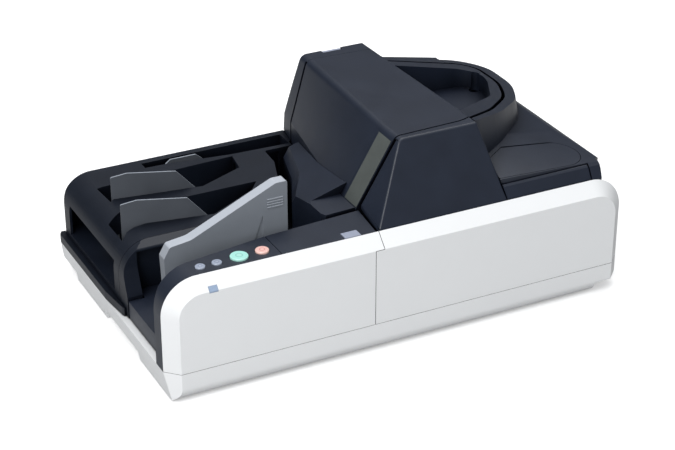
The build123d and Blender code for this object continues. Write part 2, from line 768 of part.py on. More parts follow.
# ---- Pocket block ----
def pocket_walls(low, high):
    """Walls round each pocket."""
    walls = None
    for pocket in (front_pocket, middle_pocket, rear_pocket):
        outline = offset(make_face(Polyline(*[(x, y, low) for x, y in pocket], close=True)), amount=skin,
                         kind=Kind.INTERSECTION)
        ring = extrude(outline, amount=high - low, dir=(0, 0, 1))
        walls = ring if walls is None else walls + ring
    return walls


def block_outline(inset, low, high):
    return plan([
        (block_left, back - inset), (block_left, wall_line + seam + inset), (-84, wall_line + seam + inset),
        (-76 - inset, -2 + inset), (-52 - inset, 40), (-34 - inset, 92), (-32 - inset, 122), (3, 122 + inset),
        (3, 133), (20, 133), (20, back - inset),
    ], low, high, [8 if not inset else 5, 0, 2, 8, 10, 12, 3, 0, 0, 0, 0])


def pocket_block():
    """Moulded block with the three sorting pockets, open at its left end and to the track on its right."""
    form = block_outline(0, base_height + fit, block_top) & block_end(0, 0)
    form &= post(*rear_hinge, 0, 300, 600) - post(*rear_hinge, 0, 300, cover_sweep + 0.8)
    form -= block(block_left + skin, 30, -60, back - skin, 0, chassis_top)
    inside = block_outline(skin, pocket_floor, block_top) & block_end(skin, 0)
    inside -= block(-90, 30, -60, back, 0, 300)
    form -= inside - pocket_walls(chassis_top, block_top)
    for x, y in post_places():
        form -= hexagon(x, y, chassis_top - 1, pocket_floor + 1, 3.5)
    form += side_tray()
    for pocket in (front_pocket, middle_pocket, rear_pocket):
        form -= plan(pocket, pocket_floor, block_top + 1)
    low, high = window_levels
    form -= block(block_left - 1, -225, *window_span, low, high)
    channels = [
        [(-78, 52), (-74, 42), (-44, 84), (-12, 124), (-12, 132), (-18, 132), (-50, 92)],
        [(-78, 120), (-72, 112), (-12, 124), (-12, 132)],
    ]
    for channel in channels:
        form -= plan(channel, pocket_floor, block_top - 4)
    return form


def pocket_plate(corners, top):
    """Upright sorting plate, turning on a pin at its right end."""
    (x0, y0), (x1, y1) = corners
    run = math.hypot(x1 - x0, y1 - y0)
    low = pocket_floor + 1
    outline = [(0, low), (0, top[0]), (run * 0.19, top[1]), (run * 0.77, top[2]), (run, block_top - 2), (run, low)]
    wire = FilletPolyline(*[(s, 0, z) for s, z in outline], radius=[0, 2, 6, 3, 3, 0], close=True)
    plate = extrude(make_face(wire), amount=plate_thick, dir=(0, 1, 0))
    angle = math.degrees(math.atan2(y1 - y0, x1 - x0))
    plate = Pos(x0, y0, 0) * Rot(0, 0, angle) * plate
    return plate + post(x1 - 0.5, y1 + 1, pocket_floor + 0.3, block_top - 8, 2)


def pocket_plate_rear():
    """Low sorting plate of the rear pocket."""
    return elevation([
        (-144, pocket_floor + 1), (-144, block_top - 3), (-138, block_top + 1.6), (-107, block_top + 1.6),
        (-98, block_top - 6), (-98, pocket_floor + 1),
    ], 146, 146 + plate_thick, [0, 2, 2, 2, 2, 0]) + post(-98, 146.8, pocket_floor + 0.3, block_top - 8, 2)


def side_tray():
    """Shelf along the left end, under the pockets' window."""
    return plan([
        (left, 14), (left + 4, -26), (left + 5, -30), (block_left + 1, -30), (block_left + 1, back - 1), (left + 3, back - 1),
        (left, back - 7),
    ], base_height + fit, 44, [3, 2, 0, 0, 0, 0, 0]) - block(block_left - fit, 0, -60, wall_line + seam, 0, 300)


# ---- Tower, feed unit cover and turn ----
def feed_unit_cover():
    """Faceted cover between the hopper and the tower."""
    foot = [(-66, -22), (-40, 33), (-20, 97), (30, 97), (30, -90), (-62, -96), (-65, -90)]
    solid = plan(foot, floor_top, height) & feed_facets(0)
    solid -= plan([(-80, -120), (40, -120), (40, -57), (-80, -60)], 137, height)
    solid -= tower(-seam)
    hollow = plan([
        (-62.5, -22), (-37, 33), (-18, 93), (30, 93), (30, -87), (-59, -92), (-61.5, -88),
    ], floor_top - 1, height) & feed_facets(hide)
    hollow -= plan([(-80, -120), (40, -120), (40, -54), (-80, -57)], 134, height)
    solid -= hollow
    solid -= post(*retard_place, 0, tyre_levels[1] + 8, retard_radius + 1)
    return solid


def feed_facets(inset):
    """Under the cover's facets: a large one falling to the left and back, and two steep ones at the left."""
    x, y, z = feed_peak
    behind = plan([(x, y), (x - 60, y - 54), (x - 60, 200), (60, 200), (60, y)], 0, 300)
    steep = under(2.282, -1.332, feed_peak, inset) - behind + (under(1.619, -0.596, feed_peak, inset) & behind)
    return under(0.283, -0.178, (-18, -64, 150), inset) & steep


def under(slope_x, slope_y, point, inset):
    """Space under a sloping plane through the point, moved inwards by inset."""
    x0, y0, z0 = point
    rise = math.sqrt(1 + slope_x ** 2 + slope_y ** 2) * inset
    corners = [(x0 + dx, y0 + dy) for dx, dy in ((-150, -150), (150, -150), (150, 200), (-150, 200))]
    base = [(x, y, z0 + slope_x * (x - x0) + slope_y * (y - y0) - rise) for x, y in corners]
    return extrude(make_face(Polyline(*base, close=True)), amount=900, dir=(0, 0, -1))


def centre_tower():
    """Fixed middle of the tower, between the two runs of the track."""
    shell = tower(0, floor_top) & track_region(-slot_half, floor_top, height + 1) & block(-40, 130, -140, 160, 0, 300)
    shell -= tower(hide, floor_top - 1) & track_region(-slot_half - hide, floor_top - 1, height)
    for x, y in (drive_places[0], drive_places[2]):
        shell -= post(x, y, floor_top - 1, tyre_levels[1] + 8, drive_radius + 1)
    shell -= magnet_room(fit) + inner_sensor_room(fit)
    return shell


def inner_sensor_room(grow):
    """Scanning bar on the inside of the track."""
    y = -93.4 + slot_half
    return block(76 - grow, 92 + grow, y - 1, y + 14 + grow, floor_top + 1 - grow, 114 + grow)


def magnet_room(grow):
    y = -96.5 + slot_half
    return block(6 - grow, 20 + grow, y - 2, y + 16 + grow, floor_top + 1 - grow, 88 + grow)


def inner_image_sensor():
    return inner_sensor_room(0) & track_region(-slot_half - 0.3, 0, 300)


def magnetic_head():
    return magnet_room(0) & track_region(-slot_half - 0.3, 0, 300)


def turn_island():
    """Inside of the turn, with a sunken well."""
    side = block(90, 300, -200, 200, 0, 300)
    island = track_region(-slot_half, floor_top, height + 8) & below_rim() & side
    island -= tower(-fit, 0)
    island -= plan(well_points, well_floor, height + 20, well_radii)
    island -= post(*well_hole, 0, height, well_hole_radius)
    core = (track_region(-slot_half - hide, floor_top - 1, well_floor - hide) & side) - tower(-hide - 0.5, 0)
    island -= core
    x, y = drive_places[1]
    island -= post(x, y, floor_top - 1, tyre_levels[1] + 8, drive_radius + 1)
    return island


# ---- Right deck ----
def deck_surface(drop):
    """Everything under the twisted top of the right deck."""
    first, last = front + 8, back + 8
    def section(x, heights):
        inner = [(y, z - drop) for y, z in heights[1:-1]]
        outline = [(first, -20), (first, heights[0][1] - drop)] + inner + [(last, heights[-1][1] - drop), (last, -20)]
        return make_face(Polyline(*[(x, y, z) for y, z in outline], close=True))
    right_heights = [(y, deck_edge + 0.001 * i) for i, (y, _) in enumerate(deck_left_heights)]
    return loft([section(rim_start[0] - 10, deck_left_heights), section(deck_right + 10, right_heights)], ruled=True)


def deck_form(inset):
    """Outer form of the deck, moved inwards by inset."""
    form = plan([
        (tower_foot_right - 20, deck_front + inset), (deck_right - inset, deck_front + inset),
        (deck_right - inset, back - inset), (tower_foot_right - 20, back - inset),
    ], base_height + fit - (1 if inset else 0), height, [0, deck_corner - inset, 10 - inset, 0])
    edge = elevation([
        (0, 0), (0, height + 20), (deck_right - 30, height + 20), (deck_right - 30, deck_edge + 9),
        (deck_right - 14, deck_edge + 1.5), (deck_right - inset, deck_edge - 10), (deck_right - inset, 0),
    ], front, back, [0, 0, 0, 0, 12, 6, 0])
    return form & deck_surface(inset) & edge & back_lean(inset)


def nose_form(x0, x1, low):
    """Sloping front edge of the dark casings, behind the white front."""
    lip = front + bevel + fit
    return profile([
        (lip, low), (lip, front_top), (deck_front - 4, front_top + 12), (deck_front + 0.5, front_top + 15.5),
        (deck_front + 0.5, low),
    ], x0, x1)


def lid_plan(inset):
    x0, x1, y0, y1 = lid_box
    round_end = (y1 - y0) / 2 - inset - 0.1
    return plan([
        (x0 + inset, y0 + inset), (x1 - inset, y0 + inset), (x1 - inset, y1 - inset), (x0 + inset, y1 - inset),
    ], base_height + 10, height, [0, round_end, round_end, 0])


def right_deck():
    """Deck over the cartridge bay, with the outer wall of the turn."""
    deck_side = block(100, 300, -200, 200, 0, 300)
    shell = deck_form(0) - deck_form(wall)
    shell += track_region(rim_wall, 145, height + 2, rim_taper) & below_rim() & turn_lean(0) & deck_side
    track_wall = track_region(slot_half + hide, floor_top + fit, 150) - track_region(slot_half, 0, 300)
    shell += track_wall & block(112, 300, -200, 200, 0, 300)
    nose = nose_form(strip_right + seam, nose_right, nose_low) & deck_surface(0)
    nose += block(strip_right + seam, nose_right, deck_front, deck_front + 12, nose_low, height) & deck_surface(0)
    shell += nose & plan([(100, front), (nose_right, front), (nose_right, 0), (100, 0)], 0, height, [0, 22, 0, 0])
    corner_x, corner_y = deck_right - deck_corner, deck_front + deck_corner
    shell -= block(100, corner_x, deck_front - 1, back - wall - fit, 0, floor_top + fit)
    shell -= block(corner_x, right - 12, corner_y, back - wall - fit, 0, floor_top + fit)
    shell -= block(corner_x, right - 12, deck_front - 1, corner_y, 0, chassis_top)
    shell -= track_region(slot_half, 0, 300)
    shell -= tower(-seam, 0)
    shell -= rear_side(seam)
    shell -= post(*front_hinge, 0, nose_low, column_radius + 0.6)
    shell += front_lug()
    shell -= lid_plan(0) - track_region(rim_wall + 1, 0, 300)
    shell += pinch_carrier(pinch_places[1]) - tower(-seam, 0)
    shell -= pinch_room(pinch_places[1]) - post(*pinch_places[1], 0, 300, pin_radius)
    shell -= rear_hinge_room()
    x, y = rear_hinge
    shell += block(x - 6, x + 8, y - 5, back - wall, barrel_top + 1, barrel_top + 4)
    return shell - post(x, y, 0, barrel_top + 4.3, pin_radius + pin_fit)


def front_lug():
    """Arm from the deck's corner that holds the top of the front cover's hinge pin."""
    x, y = front_hinge
    low, high = column_top + seam, column_top + 5
    arm = post(x, y, low, high, lug_radius)
    arm += plan([(x - lug_radius, y), (x - 17, y + 24), (x - 5, y + 30), (x + lug_radius, y)], low, high)
    return arm - post(x, y, 0, high - 1.5, pin_radius + pin_fit)


def rear_side(gap):
    """Everything on the rear cover's side of the seam, which runs round the rear hinge."""
    x, y = rear_hinge
    region = plan([
        (-40, 100), (x - 8.5 + gap, 100), (x - 8.5 + gap, y), (x, y), (x, back + 5), (-40, back + 5),
    ], 0, 300)
    region -= track_region(slot_half - 0.01, 0, 300)
    return region - post(x, y, 0, 300, turn_circle - gap)


def rear_hinge_room():
    """Space for the rear cover's barrel and arms inside the deck."""
    x, y = rear_hinge
    room = post(x, y, 0, barrel_top + 0.7, barrel_radius + 0.6)
    for low, high in arm_levels:
        room += block(x - 14, x + 3, y - 4, back + 1, low - 1, high + 1)
    return room


def deck_height(x, y):
    """Height of the deck between its two ends, in front of y = -84."""
    (y0, z0), (y1, z1) = deck_left_heights[:2]
    x0, x1 = rim_start[0] - 10, deck_right + 10
    at_left = z0 + (z1 - z0) * (y - y0) / (y1 - y0)
    return at_left + (deck_edge - at_left) * (x - x0) / (x1 - x0)


def lid_axis():
    """Left and right end of the lid's hinge line, inside its full-round rear edge."""
    y = lid_box[3] - seam - lid_barrel
    ends = (tower_foot_right + 2, lid_box[1] - 27)
    return [(x, y, deck_height(x, y) - lid_barrel - 0.08) for x in ends]


def cartridge_lid():
    """Stadium-shaped lid over the imprint cartridge, cut back where it passes the deck's edge as it opens."""
    lid = lid_plan(seam) & (deck_surface(0) - deck_surface(lid_thick))
    start, end = lid_axis()
    lid -= block(100, 300, start[1], 0, 0, height)
    run = math.hypot(end[0] - start[0], end[2] - start[2])
    tilt = math.degrees(math.atan2(start[2] - end[2], end[0] - start[0]))
    barrel = Rot(0, 90, 0) * Cylinder(lid_barrel, run, align=(Align.CENTER, Align.CENTER, Align.MIN))
    lid += Pos(*start) * Rot(0, tilt, 0) * barrel
    lid -= tower(-2 * seam, 0) + track_region(rim_wall + 1 + seam, 0, 300)
    x0, x1, y0, y1 = lid_box
    edge = block(x0 + 20, x1, y1 - 8, y1 + 4, deck_edge - 20, height) & deck_surface(0)
    edge -= lid_plan(lid_clear) - track_region(rim_wall + 1 + lid_clear, 0, 300)
    hinge_line = Axis(start, tuple(b - a for a, b in zip(start, end)))
    for step in range(1, lid_steps + 1):
        lid -= edge.rotate(hinge_line, lid_opening * step / lid_steps)
    return lid


cartridge_box = (150.0, 186.0, -117.0, -97.0)
cartridge_low = 92.0
cartridge_top = 136.0


def cartridge_bay():
    """Open-topped bay that holds the imprint cartridge, moulded with the track floor."""
    x0, x1, y0, y1 = cartridge_box
    bay = block(x0 - 3, x1 + 3, y0 - 3, y1 + 3, floor_top, cartridge_top - 12)
    bay -= block(x0 - fit, x1 + fit, y0 - fit, y1 + fit, cartridge_low, cartridge_top)
    return bay - block(x0 + 3, x1 - 3, y0 + 1, y1 - 1, floor_top - 1, cartridge_low - 3)


def imprint_cartridge():
    """Ink cartridge with a finger grip and a nozzle plate towards the track."""
    x0, x1, y0, y1 = cartridge_box
    body = block(x0, x1, y0, y1, cartridge_low, cartridge_top - 8)
    body += block(x0 + 10, x1 - 10, y0 + 6, y1 - 6, cartridge_top - 8, cartridge_top)
    return chamfer(body.edges().filter_by(Axis.Z).group_by(Axis.X)[0], 2)


def track_floor():
    """Floor of the whole track, carrying the bushes."""
    outline = [
        (-63.5, -106), (deck_right - 12, -120), (deck_right - 4, -104), (deck_right - 4, 136), (14.5, 139.5), (14.5, 132.5), (4.5, 132.5), (4.5, 121), (-20, 120), (-24, 100),
        (-46, 40), (-63.5, -20),
    ]
    plate = plan(outline, chassis_top, floor_top) + cartridge_bay()
    for x, y in shaft_places():
        around = bush_radius if (x, y) not in (motor_place, feed_motor_place) else 28
        plate -= post(x, y, 40, 60, around)
    return plate


# ---- Front cover's dark parts, and the rear cover ----
def hood_slant():
    """Everything right of the front cover's slanted left seam."""
    corner = door_step_x - 2.4 + seam
    return plan([(corner, front), (corner + seam_slant * 1.3, -90), (400, -80), (400, front)], 0, 300)


def front_cover_hood():
    """Leaning front of the tower, with its roof over the track and the strip along its foot."""
    low = front_top - strip_thick
    form = tower(0, front_top - 20) & hood_lean(0) & block(-60, 130, front, 0, low, 300)
    form -= track_region(slot_half, 0, height - hide)
    form -= track_region(-slot_half + seam, 0, 300)
    inner = tower(hide, 0) & hood_lean(hide) & block(-60, 130, front, 0, 0, 300)
    inner -= track_region(slot_half + hide, 0, 300)
    lip = front + bevel + fit
    corner = door_step_x - 2.4 + seam
    strip = plan([
        (corner, lip), (strip_right, lip), (strip_right, deck_front - seam), (110, deck_front - seam), (110, -105),
        (corner + seam_slant, -100.5),
    ], low, front_top)
    nose = nose_form(115, strip_right, low) - nose_form(114, strip_right + 1, low).moved(Pos(0, 3, -3))
    nose &= block(100, 300, front, deck_front - seam, 0, 300)
    hood = form + strip - inner + nose
    hood -= track_region(slot_half, 0, height - hide)
    return hood & hood_slant()


def front_cover_frame():
    """Inner frame of the front cover: shelves, outer track wall, pinch roller pin and hinge column."""
    lip = front + bevel + fit
    x, y = front_hinge
    edge = deck_front - seam - 0.4
    outline = [
        (-26, lip), (x, lip), (x, edge), (125, edge), (118, -104), (60, -104), (-21, -104.5),
    ]
    frame = None
    for low, high in shelf_levels:
        shelf = plan(outline, low, high)
        frame = shelf if frame is None else frame + shelf
    track_wall = track_region(slot_half + hide, floor_top + 1, front_top - strip_thick - fit) - track_region(slot_half, 0, 300)
    frame += track_wall & block(-21, 130, -140, 0, 0, 300) & tower(0, 0) & block(-60, 130, front, -70, 0, 300)
    frame += pinch_carrier(pinch_places[0])
    frame -= pinch_room(pinch_places[0]) - post(*pinch_places[0], 0, 300, pin_radius)
    column = post(x, y, chassis_top + 0.6, column_top, column_radius)
    column &= elevation([
        (0, 0), (0, front_top), (right - wall - fit, front_top), (right - wall - fit, 0),
    ], lip, 0, [0, 0, corner_radius - wall, 0])
    frame += column
    frame -= outer_sensor_room(fit)
    frame -= post(x, y, 0, 300, pin_radius + running)
    return frame & hood_slant()


def outer_sensor_room(grow):
    return block(76 - grow, 92 + grow, -113, -94 - slot_half, floor_top + 8 - grow, 107 + grow)


def outer_image_sensor():
    return outer_sensor_room(0) - track_region(slot_half + 0.3, 0, 300)


def rear_form(inset):
    """Outer form of the rear cover, moved inwards by inset."""
    form = tower(inset, base_height + fit - (1 if inset else 0)) & block(-20, 130, 60, back, 0, 300)
    form &= back_lean(inset)
    turn = block(100, 220, 100, back, base_height + fit - (1 if inset else 0), height) & below_rim(inset)
    return form + (turn & turn_lean(inset))


def rear_cover():
    """Back of the tower and of the turn, carrying the outer track wall, hinged at its right end."""
    form = rear_form(0) & rear_side(0)
    form += (tower(0, 100) & block(-20, 108, 60, back, height - hide, 300) & (
        track_region(slot_half + 1, 0, 300) - track_region(-slot_half + seam, 0, 300))) & block(-20, 130, 110, back, 0, 300)
    core = rear_form(hide) - track_region(slot_half + hide, 0, 300)
    x, y = rear_hinge
    core &= block(-30, x - 11, 60, back, 0, 300)
    form -= core
    form -= block(-40, 300, 60, back - 10 + 1, 0, floor_top + fit)
    form -= block(-40, x - 11, 60, back - hide, 0, floor_top + fit)
    form -= (block(-40, 60, 60, back + 1, 0, block_top + 1) - post(x, y, 0, 300, cover_sweep))
    form += pinch_carrier(pinch_places[2])
    form -= pinch_room(pinch_places[2]) - post(*pinch_places[2], 0, 300, pin_radius)
    barrel = post(x, y, chassis_top + 1, barrel_top, barrel_radius)
    for low, high in arm_levels:
        barrel += block(x - 16, x, y - 2.5, y + 2.5, low, high)
    form += barrel
    x0, x1 = rear_tab_span
    form -= block(x0 - fit, x1 + fit, tower_back - 6, back, height - 6 - latch_travel, height + 1)
    return form - post(x, y, 0, 300, pin_radius + running)


def rear_latch():
    """Finger tab that frees the rear cover."""
    x0, x1 = rear_tab_span
    y0, y1 = tower_back - 5.7, tower_back + 1.5
    tab = block(x0, x1, y0, y1, height - 5.5, height - 1.5)
    tab = fillet(tab.edges().group_by(Axis.Z)[-1], 0.6)
    return tab + block(x0 + 7, x1 - 7, y0, y0 + 2, height - 22, height - 5)


parts = {
    "base_casing": base_casing,
    "rubber_feet": rubber_feet,
    "chassis_plate": chassis_plate,
    "chassis_screws": chassis_screws,
    "hinge_pins": hinge_pins,
    "guide_rails": guide_rails,
    "front_panel": front_panel,
    "indicator_lens": indicator_lens,
    "control_frame": control_frame,
    "key_board": key_board,
    "inlet_cover": inlet_cover,
    "front_latch": front_latch,
    "hopper_floor": hopper_floor,
    "wear_strip": wear_strip,
    "hopper_wall": hopper_wall,
    "feed_guide": feed_guide,
    "pocket_block": pocket_block,
    "pocket_plate_front": lambda: pocket_plate([(-243.7, 23.9), (-151.4, 8.0)], (135.6, 138.7, 133.6)),
    "pocket_plate_middle": lambda: pocket_plate([(-230.8, 87), (-137, 74.5)], (136.6, 139.2, 133.0)),
    "pocket_plate_rear": pocket_plate_rear,
    "feed_unit_cover": feed_unit_cover,
    "centre_tower": centre_tower,
    "turn_island": turn_island,
    "right_deck": right_deck,
    "cartridge_lid": cartridge_lid,
    "imprint_cartridge": imprint_cartridge,
    "front_cover_panel": front_cover_panel,
    "front_cover_hood": front_cover_hood,
    "front_cover_frame": front_cover_frame,
    "rear_cover": rear_cover,
    "rear_latch": rear_latch,
    "track_floor": track_floor,
    "bushes": bushes,
    "inner_image_sensor": inner_image_sensor,
    "outer_image_sensor": outer_image_sensor,
    "magnetic_head": magnetic_head,
    "transport_belt": lambda: belt(transport_places, transport_level),
    "feed_belt": lambda: belt(feed_places, feed_level),
    "transport_motor": lambda: motor(motor_place, 20, 60),
    "feed_motor": lambda: motor(feed_motor_place, 14, 34),
    "transport_spindle": lambda: motor_spindle(motor_place, transport_level),
    "feed_spindle": lambda: motor_spindle(feed_motor_place, feed_level),
    "pick_roller": lambda: roller(pick_place, pick_radius, 112, feed_level),
    "feed_roller": lambda: roller(feed_place, drive_radius, 112, feed_level),
    "retard_roller": lambda: roller(retard_place, retard_radius, 106),
    "front_drive_roller": lambda: roller(drive_places[0], drive_radius, 112, transport_level),
    "turn_drive_roller": lambda: roller(drive_places[1], drive_radius, 112, transport_level),
    "back_drive_roller": lambda: roller(drive_places[2], drive_radius, 112, transport_level),
    "front_pinch_roller": lambda: pinch_roller(pinch_places[0]),
    "turn_pinch_roller": lambda: pinch_roller(pinch_places[1]),
    "back_pinch_roller": lambda: pinch_roller(pinch_places[2]),
    "main_board": main_board,
    "power_supply": power_supply,
    "power_inlet": power_inlet,
    "power_switch": power_switch,
}
for name in button_sizes:
    parts[name] = lambda name=name: button(name)


def write(name, made):
    solids = made if isinstance(made, list) else made.solids()
    shape = Compound(children=[Part() + s for s in solids]) if len(solids) > 1 else solids[0]
    shape.label = name
    export_step(shape, f"parts/{name}.step")


if __name__ == "__main__":
    os.makedirs("parts", exist_ok=True)
    for name, make in parts.items():
        write(name, make())
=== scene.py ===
import json
import math

import bmesh
import bpy
import numpy as np
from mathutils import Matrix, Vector

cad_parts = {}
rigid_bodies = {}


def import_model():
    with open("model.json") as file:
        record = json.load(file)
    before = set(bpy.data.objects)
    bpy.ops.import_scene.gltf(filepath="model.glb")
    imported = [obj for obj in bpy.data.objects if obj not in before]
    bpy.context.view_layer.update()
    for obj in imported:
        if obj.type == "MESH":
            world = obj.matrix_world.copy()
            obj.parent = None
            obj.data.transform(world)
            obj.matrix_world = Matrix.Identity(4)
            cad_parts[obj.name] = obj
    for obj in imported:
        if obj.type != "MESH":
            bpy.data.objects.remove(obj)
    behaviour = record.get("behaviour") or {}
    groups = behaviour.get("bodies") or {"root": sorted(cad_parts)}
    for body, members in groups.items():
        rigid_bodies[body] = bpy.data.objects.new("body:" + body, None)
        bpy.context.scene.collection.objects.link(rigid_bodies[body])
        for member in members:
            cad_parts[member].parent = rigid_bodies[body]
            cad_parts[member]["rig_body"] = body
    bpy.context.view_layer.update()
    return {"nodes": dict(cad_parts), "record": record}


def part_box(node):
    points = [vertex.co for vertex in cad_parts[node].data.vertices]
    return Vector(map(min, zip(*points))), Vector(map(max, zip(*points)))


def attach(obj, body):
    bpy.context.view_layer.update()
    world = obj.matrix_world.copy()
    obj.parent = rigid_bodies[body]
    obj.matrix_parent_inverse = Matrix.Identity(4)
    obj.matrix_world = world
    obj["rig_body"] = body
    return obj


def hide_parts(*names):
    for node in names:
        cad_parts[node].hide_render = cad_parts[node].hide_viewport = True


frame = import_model()
nodes = frame["nodes"]
slotOf = {row["node"]: row["material_slot"] for row in frame["record"]["subparts"]}
print("frame loaded:", len(nodes), "nodes")

# Shader trees, in a few words.


def addNode(tree, kind, values=None, **settings):
    # One shader node: settings are its own choices, values go to its inputs by name or number.
    node = tree.nodes.new("ShaderNode" + kind)
    for setting, choice in settings.items():
        setattr(node, setting, choice)
    for socket, value in (values or {}).items():
        node.inputs[socket].default_value = value
    return node


def addRamp(tree, share, stops):
    # Colour that goes with a share from 0 to 1; each stop is a position and its colour.
    ramp = addNode(tree, "ValToRGB")
    for i, (position, colour) in enumerate(stops):
        stop = ramp.color_ramp.elements[i] if i < 2 else ramp.color_ramp.elements.new(position)
        stop.position = position
        stop.color = tuple(colour) + (1,)
    tree.links.new(share, ramp.inputs["Fac"])
    return ramp.outputs["Color"]


def addBump(tree, shader, height, strength, distance):
    bump = addNode(tree, "Bump", {"Strength": strength, "Distance": distance})
    tree.links.new(height, bump.inputs["Height"])
    tree.links.new(bump.outputs["Normal"], shader.inputs["Normal"])


def addRoughness(tree, shader, share, low, high):
    span = addNode(tree, "MapRange", {"To Min": low, "To Max": high})
    tree.links.new(share, span.inputs["Value"])
    tree.links.new(span.outputs["Result"], shader.inputs["Roughness"])


def mixColours(tree, share, first, second):
    # The first colour where the share is 0, the second where it is 1; either may be plain or a socket.
    mix = addNode(tree, "Mix", data_type="RGBA")
    tree.links.new(share, mix.inputs["Factor"])
    for socket, colour in ((mix.inputs[6], first), (mix.inputs[7], second)):
        if isinstance(colour, tuple):
            socket.default_value = colour + (1,)
        else:
            tree.links.new(colour, socket)
    return mix.outputs[2]


def newFinish(name, **values):
    # A material, its tree, its shader with these values, and the place on the piece that patterns go by.
    material = bpy.data.materials.new(name)
    material.use_nodes = True
    tree = material.node_tree
    shader = tree.nodes["Principled BSDF"]
    for socket, value in values.items():
        shader.inputs[socket.replace("_", " ")].default_value = value
    return material, tree, shader, addNode(tree, "TexCoord").outputs["Object"]


# Camera, room and lamps.

studio = {
    "cameraPlace": (-0.8292, -1.6447, 1.0434),
    "cameraTurn": -26.75,                      # degrees about Z
    "cameraDown": 27.97,                       # degrees below level
    "sensor": 36,
    "lens": 100.32,
    "farthest": 50,
    "floorReach": 12.0,
    "floorSeen": 0.84,                         # grey of the floor for the camera, which adds floorGlow
    "floorGlow": 0.34,
    "floorBounce": 0.42,                       # grey of the floor for the light that it throws back
    "brightSide": (-0.35, -0.50, 0.79),        # the room's light comes mostly from here
    "room": [(0.0, 0.10), (0.5, 0.22), (0.68, 0.40), (0.85, 0.72), (1.0, 0.95)],    # grey, away from it to towards it
    "mirrored": [(0.0, 0.10), (0.5, 0.035), (0.64, 0.09), (0.78, 0.36), (1.0, 0.85)],    # in gloss, from down to up
    "roomTint": (0.96, 0.98, 1.0),
    "roomStrength": 0.86,
    "lampAim": (0, 0, 0.1),
    "lamps": [                                 # name, place, width, height, watts, shows in gloss
        ("keyLamp", (-1.5, -1.2, 2.2), 1.4, 1.4, 40, True),
        ("topLamp", (0.5, 0.7, 2.3), 1.6, 1.6, 22, True),
        ("stripLamp", (-2.1, -2.2, 0.85), 0.4, 1.3, 14, True),
        ("backLamp", (0.9, 2.2, 0.9), 1.2, 1.2, 20, False),
    ],
}


def makeCamera():
    data = bpy.data.cameras.new("camera")
    data.sensor_width = studio["sensor"]
    data.lens = studio["lens"]
    data.clip_end = studio["farthest"]
    camera = bpy.data.objects.new("camera", data)
    camera.location = studio["cameraPlace"]
    camera.rotation_euler = (math.radians(90 - studio["cameraDown"]), 0, math.radians(studio["cameraTurn"]))
    bpy.context.scene.collection.objects.link(camera)
    bpy.context.scene.camera = camera


def roomLight(tree, direction, stops):
    # Background whose grey goes by how far a ray points along the direction.
    towards = addNode(tree, "VectorMath", {1: direction}, operation="DOT_PRODUCT")
    tree.links.new(addNode(tree, "TexCoord").outputs["Generated"], towards.inputs[0])
    share = addNode(tree, "MapRange", {"From Min": -1})
    tree.links.new(towards.outputs["Value"], share.inputs["Value"])
    tinted = [(position, [grey * part for part in studio["roomTint"]]) for position, grey in stops]
    room = addNode(tree, "Background", {"Strength": studio["roomStrength"]})
    tree.links.new(addRamp(tree, share.outputs["Result"], tinted), room.inputs["Color"])
    return room.outputs[0]


def choose(tree, kind, usual, other):
    # The other shader for this kind of ray, the usual one for the rest.
    mix = addNode(tree, "MixShader")
    tree.links.new(addNode(tree, "LightPath").outputs[kind], mix.inputs[0])
    tree.links.new(usual, mix.inputs[1])
    tree.links.new(other, mix.inputs[2])
    return mix.outputs[0]


def makeWorld():
    # Grey room lit from above the front left; the camera itself sees plain white behind the object.
    world = bpy.data.worlds.new("softRoom")
    world.use_nodes = True
    tree = world.node_tree
    tree.nodes.clear()
    white = addNode(tree, "Background", {"Color": (1, 1, 1, 1)})
    room = roomLight(tree, studio["brightSide"], studio["room"])
    mirrored = roomLight(tree, (0, 0, 1), studio["mirrored"])
    light = choose(tree, "Is Camera Ray", choose(tree, "Is Glossy Ray", room, mirrored), white.outputs[0])
    tree.links.new(light, addNode(tree, "OutputWorld").inputs["Surface"])
    bpy.context.scene.world = world


def makeFloor():
    # White sheet for the camera that throws back less light than it shows.
    mesh = bpy.data.meshes.new("floor")
    reach = studio["floorReach"]
    mesh.from_pydata([(-reach, -reach, 0), (reach, -reach, 0), (reach, reach, 0), (-reach, reach, 0)],
                     [], [(0, 1, 2, 3)])
    floor = bpy.data.objects.new("floor", mesh)
    bpy.context.scene.collection.objects.link(floor)
    material = bpy.data.materials.new("paleFloor")
    material.use_nodes = True
    tree = material.node_tree
    tree.nodes.clear()
    bounce = addNode(tree, "BsdfDiffuse", {"Color": (studio["floorBounce"],) * 3 + (1,)})
    paint = addNode(tree, "BsdfDiffuse", {"Color": (studio["floorSeen"],) * 3 + (1,)})
    glow = addNode(tree, "Emission", {"Strength": studio["floorGlow"]})
    seen = addNode(tree, "AddShader")
    tree.links.new(paint.outputs[0], seen.inputs[0])
    tree.links.new(glow.outputs[0], seen.inputs[1])
    light = choose(tree, "Is Camera Ray", bounce.outputs[0], seen.outputs[0])
    tree.links.new(light, addNode(tree, "OutputMaterial").inputs["Surface"])
    mesh.materials.append(material)


def makeLamps():
    for name, place, width, height, watts, inGloss in studio["lamps"]:
        data = bpy.data.lights.new(name, "AREA")
        data.shape = "RECTANGLE"
        data.size, data.size_y = width, height
        data.energy = watts
        lamp = bpy.data.objects.new(name, data)
        lamp.location = place
        lamp.visible_glossy = inGloss
        lamp.rotation_euler = (Vector(studio["lampAim"]) - Vector(place)).to_track_quat("-Z", "Y").to_euler()
        bpy.context.scene.collection.objects.link(lamp)


makeCamera()
makeWorld()
makeFloor()
makeLamps()
bpy.context.scene.view_settings.view_transform = "Standard"
print("camera, room and lamps placed")
